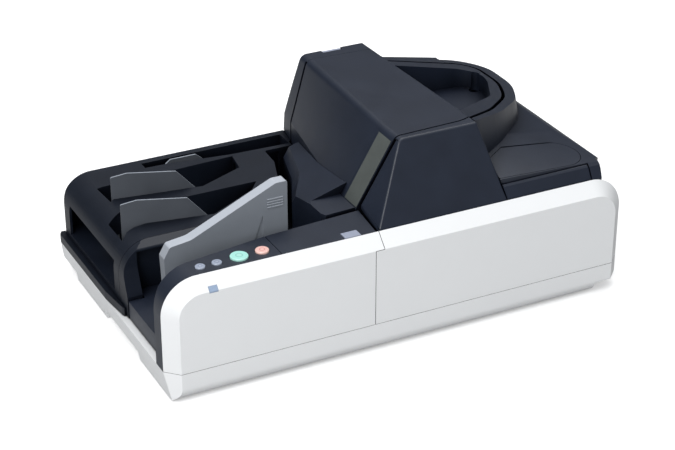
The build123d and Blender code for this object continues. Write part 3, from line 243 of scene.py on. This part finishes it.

# Moulded plastics and rubber. "grain" is grains per metre and "height" their height in metres; "cloud" is how far
# the colour drifts; "deep" is the reach in metres within which walls darken a place with painted shade, and "gloss"
# its gloss.

plastics = {
    "dark_plastic": {"colour": (0.012, 0.017, 0.031), "rough": 0.38, "grain": 2600, "height": 0.00003,
                     "cloud": 0.10, "deep": 0.045, "gloss": 0.5},
    "white_plastic": {"colour": (0.84, 0.85, 0.86), "rough": 0.38, "grain": 2600, "height": 0.00001,
                      "cloud": 0.004, "deep": 0.003, "gloss": 0.5},
    "plate_grey": {"colour": (0.085, 0.094, 0.11), "rough": 0.42, "grain": 2200, "height": 0.00002, "cloud": 0.06},
    "guide_grey": {"colour": (0.20, 0.22, 0.25), "rough": 0.40, "grain": 2600, "height": 0.00002, "cloud": 0.04},
    "tab_grey": {"colour": (0.30, 0.33, 0.42), "rough": 0.32, "grain": 2000, "height": 0.00001, "cloud": 0.03},
    "key_grey": {"colour": (0.33, 0.37, 0.45), "rough": 0.30, "grain": 1800, "height": 0.00001, "cloud": 0.03},
    "start_green": {"colour": (0.42, 0.76, 0.68), "rough": 0.28, "grain": 1800, "height": 0.00001, "cloud": 0.02},
    "stop_pink": {"colour": (0.80, 0.42, 0.38), "rough": 0.28, "grain": 1800, "height": 0.00001, "cloud": 0.02},
    "rubber": {"colour": (0.022, 0.022, 0.023), "rough": 0.74, "grain": 1500, "height": 0.00005, "cloud": 0.18},
    "motor_black": {"colour": (0.02, 0.02, 0.022), "rough": 0.40, "grain": 1800, "height": 0.00003, "cloud": 0.10},
}
moulding = {
    "cloudScale": 34,
    "cloudDetail": 4,
    "cloudFrom": 0.3,            # part of the noise over which the colour drifts
    "cloudTo": 0.7,
    "smoother": 0.04,            # roughness below and above the look's own
    "rougher": 0.05,
    "grainDetail": 2,
    "bump": 0.5,
}
# Painted shade in recesses: how closed in a place must be to be painted dark, and the colour painted there.
paintedShade = {
    "samples": 8,
    "closed": 0.25,              # openness at which a place is as dark as it gets
    "open": 0.85,                # and at which it has its full colour
    # painted shade colour of the most closed-in places
    "dark": (0.002, 0.002, 0.003),
}


def paintRecessShade(tree, shader, colour, reach, gloss):
    # Painted shade: colour and gloss times how open a place is, so that places which walls within reach close in are
    # painted dark.
    walls = addNode(tree, "AmbientOcclusion", {"Distance": reach}, samples=paintedShade["samples"])
    openness = addNode(tree, "MapRange", {"From Min": paintedShade["closed"], "From Max": paintedShade["open"]})
    tree.links.new(walls.outputs["AO"], openness.inputs["Value"])
    share = openness.outputs["Result"]
    tree.links.new(mixColours(tree, share, paintedShade["dark"], colour), shader.inputs["Base Color"])
    shine = addNode(tree, "Math", {1: gloss}, operation="MULTIPLY")
    tree.links.new(share, shine.inputs[0])
    tree.links.new(shine.outputs["Value"], shader.inputs["Specular IOR Level"])


def grainedFinish(name, look):
    # Fine noise lifts the surface, wide noise clouds its colour and roughness, and where the look gives a reach,
    # recesses get painted shade.
    material, tree, shader, place = newFinish(name)
    cloud = addNode(tree, "TexNoise", {"Scale": moulding["cloudScale"], "Detail": moulding["cloudDetail"]})
    tree.links.new(place, cloud.inputs["Vector"])
    drift = [(moulding[end], [min(1, part * (1 + sign * look["cloud"])) for part in look["colour"]])
             for end, sign in (("cloudFrom", -1), ("cloudTo", 1))]
    colour = addRamp(tree, cloud.outputs["Fac"], drift)
    # painted shade in recesses, for looks that give a reach
    if "deep" in look:
        paintRecessShade(tree, shader, colour, look["deep"], look["gloss"])
    else:
        tree.links.new(colour, shader.inputs["Base Color"])
    addRoughness(tree, shader, cloud.outputs["Fac"], look["rough"] - moulding["smoother"],
                 look["rough"] + moulding["rougher"])
    grain = addNode(tree, "TexNoise", {"Scale": look["grain"], "Detail": moulding["grainDetail"]})
    tree.links.new(place, grain.inputs["Vector"])
    addBump(tree, shader, grain.outputs["Fac"], moulding["bump"], look["height"])
    return material


# Greys whose faces that look up get a painted highlight: a paler colour where cut edges catch the light.

paintedTopHighlights = {"plate_grey": (0.30, 0.33, 0.38), "guide_grey": (0.42, 0.45, 0.50)}
highlightTurn = {"From Min": 0.25, "From Max": 0.75}        # upward part of the normal over which the top colour comes in


def paintedHighlightFinish(slot):
    material = grainedFinish(slot, plastics[slot])
    tree = material.node_tree
    base = tree.nodes["Principled BSDF"].inputs["Base Color"]
    split = addNode(tree, "SeparateXYZ")
    tree.links.new(addNode(tree, "NewGeometry").outputs["Normal"], split.inputs[0])
    up = addNode(tree, "MapRange", highlightTurn)
    tree.links.new(split.outputs["Z"], up.inputs["Value"])
    # painted highlight mixed in on faces that look up
    tree.links.new(mixColours(tree, up.outputs["Result"], base.links[0].from_socket, paintedTopHighlights[slot]), base)
    return material


# Metals with fine lines along one direction.

metals = {                       # "stretch" squeezes the lines along each axis
    "steel": {"colour": (0.58, 0.59, 0.61), "rough": 0.30, "stretch": (1, 14, 14)},
    "zinc": {"colour": (0.24, 0.25, 0.27), "rough": 0.50, "stretch": (1, 3, 1)},
}
brushing = {
    "scale": 60,
    "detail": 6,
    "shade": 0.82,               # colour in the lines, as a share of the metal's
    "smoother": 0.07,
    "rougher": 0.08,
    "bump": 0.25,
    "depth": 0.00003,
}


def brushedFinish(name, look):
    # Noise squeezed across the lines and drawn out along them gives colour, roughness and height.
    material, tree, shader, place = newFinish(name, Metallic=1)
    turn = addNode(tree, "Mapping", {"Scale": look["stretch"]})
    tree.links.new(place, turn.inputs["Vector"])
    lines = addNode(tree, "TexNoise", {"Scale": brushing["scale"], "Detail": brushing["detail"]})
    tree.links.new(turn.outputs["Vector"], lines.inputs["Vector"])
    share = lines.outputs["Fac"]
    shades = [(0, [part * brushing["shade"] for part in look["colour"]]), (1, look["colour"])]
    tree.links.new(addRamp(tree, share, shades), shader.inputs["Base Color"])
    addRoughness(tree, shader, share, look["rough"] - brushing["smoother"], look["rough"] + brushing["rougher"])
    addBump(tree, shader, share, brushing["bump"], brushing["depth"])
    return material


# Circuit board and the light window of the front panel.

board = {
    "Scale": 60,
    "Mortar Size": 0.02,
    "Color1": (0.012, 0.09, 0.04, 1),
    "Color2": (0.014, 0.11, 0.05, 1),
    "Mortar": (0.05, 0.22, 0.09, 1),
}
lens = {"ribs": 260, "deep": (0.22, 0.30, 0.44), "pale": (0.36, 0.45, 0.60)}


def boardFinish():
    # Green in two shades with paler tracks: bricks and the joints between them.
    material, tree, shader, place = newFinish("board", Roughness=0.3)
    tracks = addNode(tree, "TexBrick", board)
    tree.links.new(place, tracks.inputs["Vector"])
    tree.links.new(tracks.outputs["Color"], shader.inputs["Base Color"])
    return material


def lensFinish():
    # Frosted blue grey with fine ribs inside, under a clear coat.
    material, tree, shader, place = newFinish("lens_clear", Roughness=0.12, Coat_Weight=0.6, Coat_Roughness=0.05)
    ribs = addNode(tree, "TexWave", {"Scale": lens["ribs"]})
    tree.links.new(place, ribs.inputs["Vector"])
    shades = [(0, lens["deep"]), (1, lens["pale"])]
    tree.links.new(addRamp(tree, ribs.outputs["Fac"], shades), shader.inputs["Base Color"])
    return material


# Keys with a ring on them.

keyLooks = {                     # node: colour at the middle, at the ring, and towards the edge
    "start_button": ((0.42, 0.76, 0.68), (0.30, 0.62, 0.55), (0.40, 0.78, 0.70)),
    "stop_button": ((0.86, 0.56, 0.50), (0.72, 0.30, 0.27), (0.84, 0.52, 0.47)),
    "eject_button": ((0.34, 0.38, 0.47), (0.20, 0.23, 0.31), (0.30, 0.34, 0.43)),
    "reset_button": ((0.34, 0.38, 0.47), (0.20, 0.23, 0.31), (0.30, 0.34, 0.43)),
}
keyRings = [(0.0, 0), (0.26, 0), (0.32, 1), (0.40, 1), (0.46, 2), (0.84, 2), (0.96, 0)]   # share of the radius: colour


def keyFinish(name):
    # Colour by how far a point lies from the key's upright axis, as a share of its radius.
    low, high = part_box(name)
    middle = ((low[0] + high[0]) / 2, (low[1] + high[1]) / 2, 0)
    radius = (high[1] - low[1]) / 2
    material, tree, shader, place = newFinish(name + "Look", Roughness=0.24)
    level = addNode(tree, "VectorMath", {1: (1, 1, 0)}, operation="MULTIPLY")
    tree.links.new(place, level.inputs[0])
    away = addNode(tree, "VectorMath", {1: middle}, operation="DISTANCE")
    tree.links.new(level.outputs["Vector"], away.inputs[0])
    share = addNode(tree, "Math", {1: radius}, operation="DIVIDE")
    tree.links.new(away.outputs["Value"], share.inputs[0])
    stops = [(position, keyLooks[name][colour]) for position, colour in keyRings]
    tree.links.new(addRamp(tree, share.outputs["Value"], stops), shader.inputs["Base Color"])
    return material


materials = {slot: paintedHighlightFinish(slot) if slot in paintedTopHighlights else grainedFinish(slot, look)
             for slot, look in plastics.items()}
materials.update({slot: brushedFinish(slot, look) for slot, look in metals.items()})
materials["board"] = boardFinish()
materials["lens_clear"] = lensFinish()

dull = {                         # these two are duller and darker than the rest of the dark plastic
    "nodes": ("pocket_block", "hopper_wall"),
    "colour": (0.008, 0.011, 0.019),
    "gloss": 0.3,
}
dullPlastic = grainedFinish("dullPlastic", dict(plastics["dark_plastic"], colour=dull["colour"], gloss=dull["gloss"]))

for name, node in nodes.items():
    node.data.materials.clear()
    if name in keyLooks:
        node.data.materials.append(keyFinish(name))
    else:
        node.data.materials.append(dullPlastic if name in dull["nodes"] else materials[slotOf[name]])
print("finishes assigned")

# Soft edges: copies of the plastic pieces with their edges rounded.

edgeRounds = {                   # node: radius in mm, smallest angle that is rounded
    "base_casing": (0.8, 30), "front_panel": (0.7, 30), "front_cover_panel": (0.7, 30),
    "front_cover_hood": (1.7, 24), "centre_tower": (0.9, 24), "cartridge_lid": (0.6, 30),
    "control_frame": (0.6, 30), "hopper_wall": (0.7, 30), "hopper_floor": (0.5, 30), "pocket_block": (0.7, 30),
    "feed_unit_cover": (0.9, 20), "turn_island": (0.8, 30), "rear_cover": (0.8, 30), "feed_guide": (0.7, 30),
    "pocket_plate_front": (0.35, 30), "pocket_plate_middle": (0.35, 30), "pocket_plate_rear": (0.35, 30),
    "front_latch": (0.4, 30), "rear_latch": (0.4, 30), "inlet_cover": (0.5, 30),
    "start_button": (0.5, 30), "stop_button": (0.5, 30), "eject_button": (0.4, 30), "reset_button": (0.4, 30),
}
rounding = {
    "merge": 0.000004,           # points nearer than this are one
    "flat": 0.6,                 # faces that turn less than this many degrees are one
    "wide": 1.2,                 # radius in mm from which a round has a third segment
    "weight": 80,                # how far the large faces keep their own shading
    "full": ("front_cover_hood",),         # full radius, also where an edge is shorter
    "outer": ("cartridge_lid",),           # only edges that stand out
}


def showPiece(mesh, body, material):
    # A new piece in this finish that rides on the body.
    piece = bpy.data.objects.new(mesh.name, mesh)
    bpy.context.scene.collection.objects.link(piece)
    mesh.materials.clear()
    mesh.materials.append(material)
    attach(piece, body)
    return piece


def mergedMesh(name):
    # The node's mesh with its doubled points joined and its flat faces in one piece.
    mesh = nodes[name].data.copy()
    mesh.name = name + "Soft"
    work = bmesh.new()
    work.from_mesh(mesh)
    bmesh.ops.remove_doubles(work, verts=work.verts, dist=rounding["merge"])
    bmesh.ops.dissolve_limit(work, angle_limit=math.radians(rounding["flat"]), verts=work.verts, edges=work.edges)
    work.to_mesh(mesh)
    work.free()
    return mesh


def markOuterEdges(mesh, sharpest):
    # Bevel weight 1 on each edge that stands out at the smallest angle or more, 0 on the rest.
    work = bmesh.new()
    work.from_mesh(mesh)
    weight = work.edges.layers.float.new("bevel_weight_edge")
    for edge in work.edges:
        outer = len(edge.link_faces) == 2 and edge.calc_face_angle_signed() > math.radians(sharpest)
        edge[weight] = 1.0 if outer else 0.0
    work.to_mesh(mesh)
    work.free()


def keptInBox(piece, name):
    # The piece's finished mesh, with each point moved back to the nearest place inside the node's box.
    finished = piece.evaluated_get(bpy.context.evaluated_depsgraph_get())
    mesh = bpy.data.meshes.new_from_object(finished)
    points = np.empty(len(mesh.vertices) * 3)
    mesh.vertices.foreach_get("co", points)
    low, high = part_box(name)
    points = np.clip(points.reshape(-1, 3), np.array(low), np.array(high))
    mesh.vertices.foreach_set("co", points.ravel())
    mesh.update()
    return mesh


def softCopy(name, radius, sharpest):
    # A merged copy in the node's place: rounds along its edges, and its flat faces shaded flat.
    piece = showPiece(mergedMesh(name), nodes[name]["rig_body"], nodes[name].data.materials[0])
    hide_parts(name)
    piece.data.shade_smooth()
    piece.data.set_sharp_from_angle(angle=math.radians(sharpest))
    bevel = piece.modifiers.new("rounds", "BEVEL")
    bevel.width = radius / 1000
    bevel.segments = 2 if radius < rounding["wide"] else 3
    bevel.limit_method = "ANGLE"
    bevel.angle_limit = math.radians(sharpest)
    bevel.use_clamp_overlap = name not in rounding["full"]
    if name in rounding["outer"]:
        markOuterEdges(piece.data, sharpest)
        bevel.limit_method = "WEIGHT"
    flat = piece.modifiers.new("flatFaces", "WEIGHTED_NORMAL")
    flat.keep_sharp = True
    flat.weight = rounding["weight"]
    if name in rounding["full"]:
        piece.data = keptInBox(piece, name)
        piece.modifiers.clear()


for name, (radius, sharpest) in edgeRounds.items():
    softCopy(name, radius, sharpest)
print("edges rounded on", len(edgeRounds), "nodes")

# Painted highlight beside the seam of the front cover: a thin pale sheet on the tower's left face, painted where a
# chamfered facet catches the light.

paintedSeamHighlight = {
    "node": "centre_tower",
    # pale colour painted as the light that the facet catches
    "colour": (0.082, 0.092, 0.088),
    "rough": 0.34,
    "foot": (-0.02632, -0.0954, 0.1375),       # the seam's ends on the face
    "top": (0.01558, -0.0928, 0.2038),
    "outwards": (-0.845328, 0, 0.534247),      # the way the face looks
    "width": 0.027,                            # away from the seam, towards the back
    "lift": (0.0004, 0.0001),                  # off the face, along the seam and along the far edge
    "rows": 12,
    "across": 8,
}


def gridFaces(rows, across):
    # Four corners of each cell of a grid whose points lie row after row.
    first = (np.arange(rows)[:, None] * (across + 1) + np.arange(across)).ravel()
    return np.stack([first, first + across + 1, first + across + 2, first + 1], axis=1).tolist()


def paintSeamHighlight():
    # Point = foot + rise (top - foot) + share of the width backwards + outwards times a lift that falls evenly.
    rise, share = np.meshgrid(np.linspace(0, 1, paintedSeamHighlight["rows"] + 1), np.linspace(0, 1, paintedSeamHighlight["across"] + 1),
                              indexing="ij")
    foot, top, outwards = (np.array(paintedSeamHighlight[key]) for key in ("foot", "top", "outwards"))
    near, far = paintedSeamHighlight["lift"]
    points = foot + rise[..., None] * (top - foot) + share[..., None] * np.array((0, paintedSeamHighlight["width"], 0))
    points = points + (near + (far - near) * share)[..., None] * outwards
    mesh = bpy.data.meshes.new("paintedSeamHighlight")
    mesh.from_pydata(points.reshape(-1, 3).tolist(), [], gridFaces(paintedSeamHighlight["rows"], paintedSeamHighlight["across"]))
    mesh.update()
    if mesh.polygons[0].normal.x > 0:
        mesh.flip_normals()
    mesh.shade_smooth()
    node = paintedSeamHighlight["node"]
    # pale finish that paints the highlight
    look = dict(plastics["dark_plastic"], colour=paintedSeamHighlight["colour"], rough=paintedSeamHighlight["rough"])
    showPiece(mesh, nodes[node]["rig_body"], grainedFinish("paintedSeamHighlight", look))


paintSeamHighlight()
print("facet laid on the tower")
